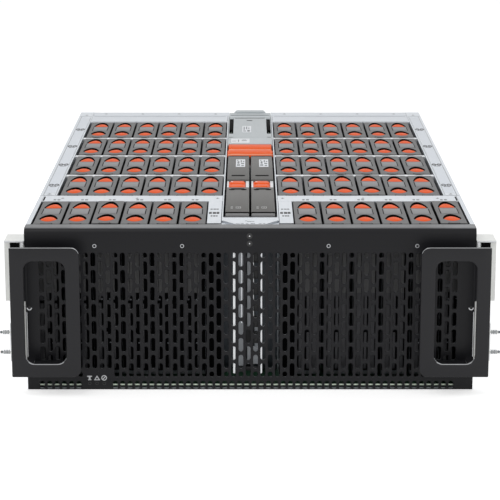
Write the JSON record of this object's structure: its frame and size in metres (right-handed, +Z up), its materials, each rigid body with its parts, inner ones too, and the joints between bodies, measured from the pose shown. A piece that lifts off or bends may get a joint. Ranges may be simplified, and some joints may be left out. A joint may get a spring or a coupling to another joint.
{
  "type": "disk shelf enclosure",
  "caption": "Open-topped rack disk shelf with rows of upright drives in carriers, a slotted dark bezel, two carrying handles and telescopic side rails.",
  "frame": {"origin": "centre of the overall box, on the plane of the chassis' underside", "axes": "+X to the right seen from the front, +Y from the front bezel to the rear, +Z up"},
  "size_m": [0.4986, 0.7112, 0.1658],
  "materials": {
    "deck_steel": "zinc plated sheet, satin",
    "bezel_black": "fine textured powder coat",
    "light_pipe": "clear moulded",
    "board": "solder mask",
    "connector_black": "moulded",
    "carrier_grey": "moulded, fine grain",
    "release_orange": "moulded, satin",
    "disk_aluminium": "die cast",
    "module_grey": "moulded, fine grain",
    "fan_black": "moulded",
    "rail_steel": "zinc plated",
    "bracket_grey": "plated, pale grey",
    "canister_silver": "plated sheet",
    "module_steel": "plated sheet"
  },
  "bodies": {
    "chassis": {"chassis_floor": "deck_steel", "side_walls": "deck_steel", "side_decks": "deck_steel", "cross_bars": "deck_steel", "row_partitions": "deck_steel", "rear_decks": "deck_steel", "centre_walls": "deck_steel", "tunnel_shelves": "deck_steel", "front_apron": "deck_steel", "centre_fillers": "deck_steel", "front_bezel": "bezel_black", "carrying_handles": "bezel_black", "indicator_lights": "light_pipe", "drive_backplane": "board", "drive_connectors": "connector_black", "drives_row_a": "carrier_grey", "drives_row_b": "carrier_grey", "drives_row_c": "carrier_grey", "drives_row_d": "carrier_grey", "drives_row_e": "carrier_grey", "release_pads_row_a": "release_orange", "release_pads_row_b": "release_orange", "release_pads_row_c": "release_orange", "release_pads_row_d": "release_orange", "release_pads_row_e": "release_orange", "rail_inner": "rail_steel"},
    "drive_a3": {"drive_a3_carrier": "carrier_grey", "drive_a3_disk": "disk_aluminium"},
    "drive_a3_front_latch": {"drive_a3_front_pad": "release_orange"},
    "drive_a3_rear_latch": {"drive_a3_rear_pad": "release_orange"},
    "drive_b9": {"drive_b9_carrier": "carrier_grey", "drive_b9_disk": "disk_aluminium"},
    "drive_b9_front_latch": {"drive_b9_front_pad": "release_orange"},
    "drive_b9_rear_latch": {"drive_b9_rear_pad": "release_orange"},
    "expander_right": {"expander_right": "module_grey"},
    "release_right": {"expander_release_right": "release_orange"},
    "expander_left": {"expander_left": "module_grey"},
    "release_left": {"expander_release_left": "release_orange"},
    "canister": {"io_canister": "canister_silver"},
    "cross_lever": {"canister_lever": "release_orange"},
    "psu_lower": {"psu_lower": "module_steel"},
    "psu_upper": {"psu_upper": "module_steel"},
    "fan_right": {"fan_housing_right": "fan_black"},
    "rotor_right": {"fan_rotor_right": "fan_black"},
    "rail_middle_right": {"rail_middle_right": "rail_steel"},
    "rail_outer_right": {"rail_outer_right": "rail_steel", "rail_bracket_right": "bracket_grey"},
    "fan_left": {"fan_housing_left": "fan_black"},
    "rotor_left": {"fan_rotor_left": "fan_black"},
    "rail_middle_left": {"rail_middle_left": "rail_steel"},
    "rail_outer_left": {"rail_outer_left": "rail_steel", "rail_bracket_left": "bracket_grey"}
  },
  "joints": [
    {"name": "drive_a3_lift", "type": "slide", "parent": "chassis", "child": "drive_a3", "axis": [0, 0, 1], "range_m": [-0.0012, 0.165]},
    {"name": "drive_a3_front_pinch", "type": "slide", "parent": "drive_a3", "child": "drive_a3_front_latch", "axis": [0, 1, 0], "range_m": [0, 0.004], "stiffness_N_per_m": 100},
    {"name": "drive_a3_rear_pinch", "type": "slide", "parent": "drive_a3", "child": "drive_a3_rear_latch", "axis": [0, -1, 0], "range_m": [0, 0.004], "stiffness_N_per_m": 100},
    {"name": "drive_b9_lift", "type": "slide", "parent": "chassis", "child": "drive_b9", "axis": [0, 0, 1], "range_m": [-0.0012, 0.165]},
    {"name": "drive_b9_front_pinch", "type": "slide", "parent": "drive_b9", "child": "drive_b9_front_latch", "axis": [0, 1, 0], "range_m": [0, 0.004], "stiffness_N_per_m": 100},
    {"name": "drive_b9_rear_pinch", "type": "slide", "parent": "drive_b9", "child": "drive_b9_rear_latch", "axis": [0, -1, 0], "range_m": [0, 0.004], "stiffness_N_per_m": 100},
    {"name": "expander_right_lift", "type": "slide", "parent": "chassis", "child": "expander_right", "axis": [0, 0, 1], "range_m": [0, 0.17]},
    {"name": "release_right_hinge", "type": "hinge", "parent": "expander_right", "child": "release_right", "pos_m": [0.0132, -0.1016, 0.16], "axis": [-1, 0, 0], "range_deg": [0, 55]},
    {"name": "expander_left_lift", "type": "slide", "parent": "chassis", "child": "expander_left", "axis": [0, 0, 1], "range_m": [0, 0.17]},
    {"name": "release_left_hinge", "type": "hinge", "parent": "expander_left", "child": "release_left", "pos_m": [-0.0132, -0.1016, 0.16], "axis": [-1, 0, 0], "range_deg": [0, 55]},
    {"name": "canister_lift", "type": "slide", "parent": "chassis", "child": "canister", "axis": [0, 0, 1], "range_m": [0, 0.09]},
    {"name": "cross_lever_hinge", "type": "hinge", "parent": "canister", "child": "cross_lever", "pos_m": [0, 0.117, 0.1613], "axis": [-1, 0, 0], "range_deg": [0, 70]},
    {"name": "psu_lower_slide", "type": "slide", "parent": "chassis", "child": "psu_lower", "axis": [0, 1, 0], "range_m": [0, 0.3]},
    {"name": "psu_upper_slide", "type": "slide", "parent": "chassis", "child": "psu_upper", "axis": [0, 1, 0], "range_m": [0, 0.3]},
    {"name": "fan_right_slide", "type": "slide", "parent": "chassis", "child": "fan_right", "axis": [0, 1, 0], "range_m": [0, 0.08]},
    {"name": "rotor_right_spin", "type": "hinge", "parent": "fan_right", "child": "rotor_right", "pos_m": [0.1163, 0.3203, 0.08015], "axis": [0, 1, 0], "continuous": true},
    {"name": "rail_right_middle_slide", "type": "slide", "parent": "chassis", "child": "rail_middle_right", "axis": [0, 1, 0], "range_m": [0, 0.33]},
    {"name": "rail_right_outer_slide", "type": "slide", "parent": "rail_middle_right", "child": "rail_outer_right", "axis": [0, 1, 0], "range_m": [0, 0.33]},
    {"name": "fan_left_slide", "type": "slide", "parent": "chassis", "child": "fan_left", "axis": [0, 1, 0], "range_m": [0, 0.08]},
    {"name": "rotor_left_spin", "type": "hinge", "parent": "fan_left", "child": "rotor_left", "pos_m": [-0.1163, 0.3203, 0.08015], "axis": [0, 1, 0], "continuous": true},
    {"name": "rail_left_middle_slide", "type": "slide", "parent": "chassis", "child": "rail_middle_left", "axis": [0, 1, 0], "range_m": [0, 0.33]},
    {"name": "rail_left_outer_slide", "type": "slide", "parent": "rail_middle_left", "child": "rail_outer_left", "axis": [0, 1, 0], "range_m": [0, 0.33]}
  ],
  "couplings": [
    {"joint": "drive_a3_rear_pinch", "follows": "drive_a3_front_pinch", "ratio": 1},
    {"joint": "drive_b9_rear_pinch", "follows": "drive_b9_front_pinch", "ratio": 1}
  ]
}
